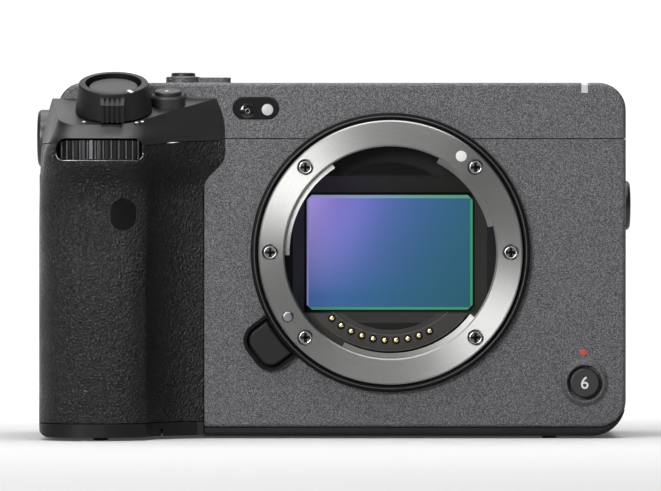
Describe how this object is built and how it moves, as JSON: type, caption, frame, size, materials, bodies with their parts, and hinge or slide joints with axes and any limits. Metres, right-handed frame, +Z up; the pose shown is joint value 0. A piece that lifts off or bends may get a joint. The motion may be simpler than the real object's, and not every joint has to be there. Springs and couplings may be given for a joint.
{
  "type": "cinema camera body",
  "caption": "Compact cinema camera body with a bare lens mount showing the sensor, a hand grip with zoom lever and dials, a swing-out monitor and threaded holes for rigging.",
  "frame": {"origin": "centre of the lens mount's front face, on the lens axis", "axes": "+X to the port side (right in a front view, away from the grip), +Y into the body along the lens axis towards the monitor, +Z up"},
  "size_m": [0.1297, 0.0845, 0.0797],
  "materials": {
    "body_paint": "dark grey paint, finely speckled, satin",
    "black_plastic": "black moulded plastic, fine satin grain",
    "grip_rubber": "fine leather-grained rubber",
    "dial_metal": "black anodised, ribbed rim",
    "button_metal": "dark anodised, spun face",
    "mount_steel": "brushed round the ring",
    "boss_metal": "dark anodised",
    "gloss_black": "smooth, glossy",
    "contact_gold": "gold-plated",
    "inner_black": "dead black against stray light",
    "sensor_glass": "cover glass with a blue-violet coating over the pixel array",
    "frame_alloy": "cast and machined, dull",
    "circuit_green": "solder mask",
    "lamp_white": "milky lamp cover",
    "screen_glass": "dark display glass",
    "screw_steel": "black-coated steel"
  },
  "bodies": {
    "camera_body": {"front_cover": "body_paint", "top_cover": "body_paint", "rear_cover": "body_paint", "bottom_cover": "black_plastic", "grip_frame": "black_plastic", "grip_leather": "grip_rubber", "grip_cap": "black_plastic", "grip_base": "black_plastic", "ir_window": "gloss_black", "mount_flange": "mount_steel", "mount_screws": "mount_steel", "mount_trim_ring": "black_plastic", "contact_block": "inner_black", "contact_pins": "contact_gold", "chassis": "frame_alloy", "throat_baffle": "inner_black", "sensor_mask": "inner_black", "stabiliser_base": "frame_alloy", "heat_sink": "frame_alloy", "main_board": "circuit_green", "fan_housing": "inner_black", "card_slots": "inner_black", "memory_cards": "inner_black", "battery": "inner_black", "port_board": "circuit_green", "tally_lamp": "lamp_white", "window_panel": "gloss_black", "thread_bushes": "mount_steel", "side_bosses": "boss_metal", "accessory_shoe": "mount_steel", "feet": "grip_rubber", "cover_screws": "screw_steel"},
    "lens_release": {"lens_release_button": "black_plastic"},
    "lock_pin": {"lens_lock_pin": "mount_steel"},
    "sensor_slider": {"stabiliser_slider": "frame_alloy"},
    "sensor_unit": {"sensor_carriage": "frame_alloy", "image_sensor": "sensor_glass"},
    "fan": {"fan_impeller": "inner_black"},
    "front_dial": {"front_dial": "dial_metal"},
    "zoom_lever": {"zoom_lever": "black_plastic"},
    "shutter_button": {"shutter_button": "button_metal"},
    "grip_top_button": {"grip_top_button": "black_plastic"},
    "power_switch": {"power_switch": "body_paint"},
    "movie_button": {"movie_button": "black_plastic"},
    "front_button": {"front_button": "black_plastic"},
    "battery_door": {"battery_door": "black_plastic"},
    "battery_latch": {"battery_latch": "black_plastic"},
    "card_door": {"card_door": "black_plastic"},
    "port_door_front": {"port_door_front": "black_plastic"},
    "port_door_rear": {"port_door_rear": "black_plastic"},
    "monitor": {"monitor_housing": "black_plastic", "monitor_glass": "screen_glass", "monitor_bracket": "black_plastic"},
    "rear_dial": {"rear_dial": "dial_metal"},
    "control_wheel": {"control_wheel": "black_plastic"},
    "centre_button": {"centre_button": "black_plastic"},
    "menu_button": {"menu_button": "black_plastic"},
    "playback_button": {"playback_button": "black_plastic"},
    "joystick_gimbal": {"joystick_gimbal": "black_plastic"},
    "joystick": {"joystick": "black_plastic"}
  },
  "joints": [
    {"name": "lens_release_press", "type": "slide", "parent": "camera_body", "child": "lens_release", "axis": [0, 1, 0], "range_m": [0, 0.0009], "stiffness_N_per_m": 1500},
    {"name": "lock_pin_retract", "type": "slide", "parent": "camera_body", "child": "lock_pin", "axis": [0, 1, 0], "range_m": [0, 0.0012]},
    {"name": "sensor_shift_x", "type": "slide", "parent": "camera_body", "child": "sensor_slider", "axis": [1, 0, 0], "range_m": [-0.0015, 0.0015], "stiffness_N_per_m": 3000},
    {"name": "sensor_shift_z", "type": "slide", "parent": "sensor_slider", "child": "sensor_unit", "axis": [0, 0, 1], "range_m": [-0.0015, 0.0015], "stiffness_N_per_m": 3000},
    {"name": "fan_spin", "type": "hinge", "parent": "camera_body", "child": "fan", "pos_m": [0.028, 0.037, -0.014], "axis": [0, 1, 0], "continuous": true},
    {"name": "front_dial_spin", "type": "hinge", "parent": "camera_body", "child": "front_dial", "pos_m": [-0.0626, -0.0066, 0.022], "axis": [0, 0, 1], "continuous": true},
    {"name": "zoom_lever_turn", "type": "hinge", "parent": "camera_body", "child": "zoom_lever", "pos_m": [-0.0598, -0.0049, 0.03055], "axis": [0, -0.3502, 0.9367], "range_deg": [-18, 18], "stiffness_Nm_per_rad": 0.06},
    {"name": "shutter_press", "type": "slide", "parent": "camera_body", "child": "shutter_button", "axis": [0, 0.3502, -0.9367], "range_m": [0, 0.0008], "stiffness_N_per_m": 2000},
    {"name": "grip_top_button_press", "type": "slide", "parent": "camera_body", "child": "grip_top_button", "axis": [0, 0.2079, -0.9781], "range_m": [0, 0.0006], "stiffness_N_per_m": 2000},
    {"name": "power_switch_turn", "type": "hinge", "parent": "camera_body", "child": "power_switch", "pos_m": [-0.0452, 0.014, 0.037], "axis": [0, 0, 1], "range_deg": [0, 40]},
    {"name": "movie_button_press", "type": "slide", "parent": "camera_body", "child": "movie_button", "axis": [0, 0, -1], "range_m": [0, 0.0006], "stiffness_N_per_m": 2000},
    {"name": "front_button_press", "type": "slide", "parent": "camera_body", "child": "front_button", "axis": [0, 1, 0], "range_m": [0, 0.0006], "stiffness_N_per_m": 2000},
    {"name": "battery_door_swing", "type": "hinge", "parent": "camera_body", "child": "battery_door", "pos_m": [-0.0502, 0.01635, -0.039], "axis": [0, -1, 0], "range_deg": [0, 90]},
    {"name": "battery_latch_slide", "type": "slide", "parent": "battery_door", "child": "battery_latch", "axis": [1, 0, 0], "range_m": [0, 0.0025]},
    {"name": "card_door_swing", "type": "hinge", "parent": "camera_body", "child": "card_door", "pos_m": [-0.0755, 0.0377, -0.01], "axis": [0, 0, 1], "range_deg": [0, 90]},
    {"name": "port_door_front_swing", "type": "hinge", "parent": "camera_body", "child": "port_door_front", "pos_m": [0.0505, 0.0327, -0.014], "axis": [0, 0, -1], "range_deg": [0, 90]},
    {"name": "port_door_rear_swing", "type": "hinge", "parent": "camera_body", "child": "port_door_rear", "pos_m": [0.0505, 0.04295, -0.014], "axis": [0, 0, -1], "range_deg": [0, 90]},
    {"name": "monitor_swing", "type": "hinge", "parent": "camera_body", "child": "monitor", "pos_m": [0.048, 0.0619, -0.007], "axis": [0, 0, -1], "range_deg": [0, 176]},
    {"name": "rear_dial_spin", "type": "hinge", "parent": "camera_body", "child": "rear_dial", "pos_m": [-0.06, 0.049, 0.0292], "axis": [0, 0, 1], "continuous": true},
    {"name": "control_wheel_spin", "type": "hinge", "parent": "camera_body", "child": "control_wheel", "pos_m": [-0.056, 0.0583, -0.01], "axis": [0, 1, 0], "continuous": true},
    {"name": "centre_button_press", "type": "slide", "parent": "camera_body", "child": "centre_button", "axis": [0, -1, 0], "range_m": [0, 0.0006], "stiffness_N_per_m": 2000},
    {"name": "menu_button_press", "type": "slide", "parent": "camera_body", "child": "menu_button", "axis": [0, -1, 0], "range_m": [0, 0.0006], "stiffness_N_per_m": 2000},
    {"name": "playback_button_press", "type": "slide", "parent": "camera_body", "child": "playback_button", "axis": [0, -1, 0], "range_m": [0, 0.0006], "stiffness_N_per_m": 2000},
    {"name": "joystick_gimbal_tilt", "type": "hinge", "parent": "camera_body", "child": "joystick_gimbal", "pos_m": [-0.0485, 0.0544, 0.014], "axis": [0, 0, 1], "range_deg": [-7, 7], "stiffness_Nm_per_rad": 0.03},
    {"name": "joystick_tilt", "type": "hinge", "parent": "joystick_gimbal", "child": "joystick", "pos_m": [-0.0485, 0.0544, 0.014], "axis": [1, 0, 0], "range_deg": [-7, 7], "stiffness_Nm_per_rad": 0.03}
  ],
  "couplings": [
    {"joint": "lock_pin_retract", "follows": "lens_release_press", "ratio": 1.3333}
  ]
}
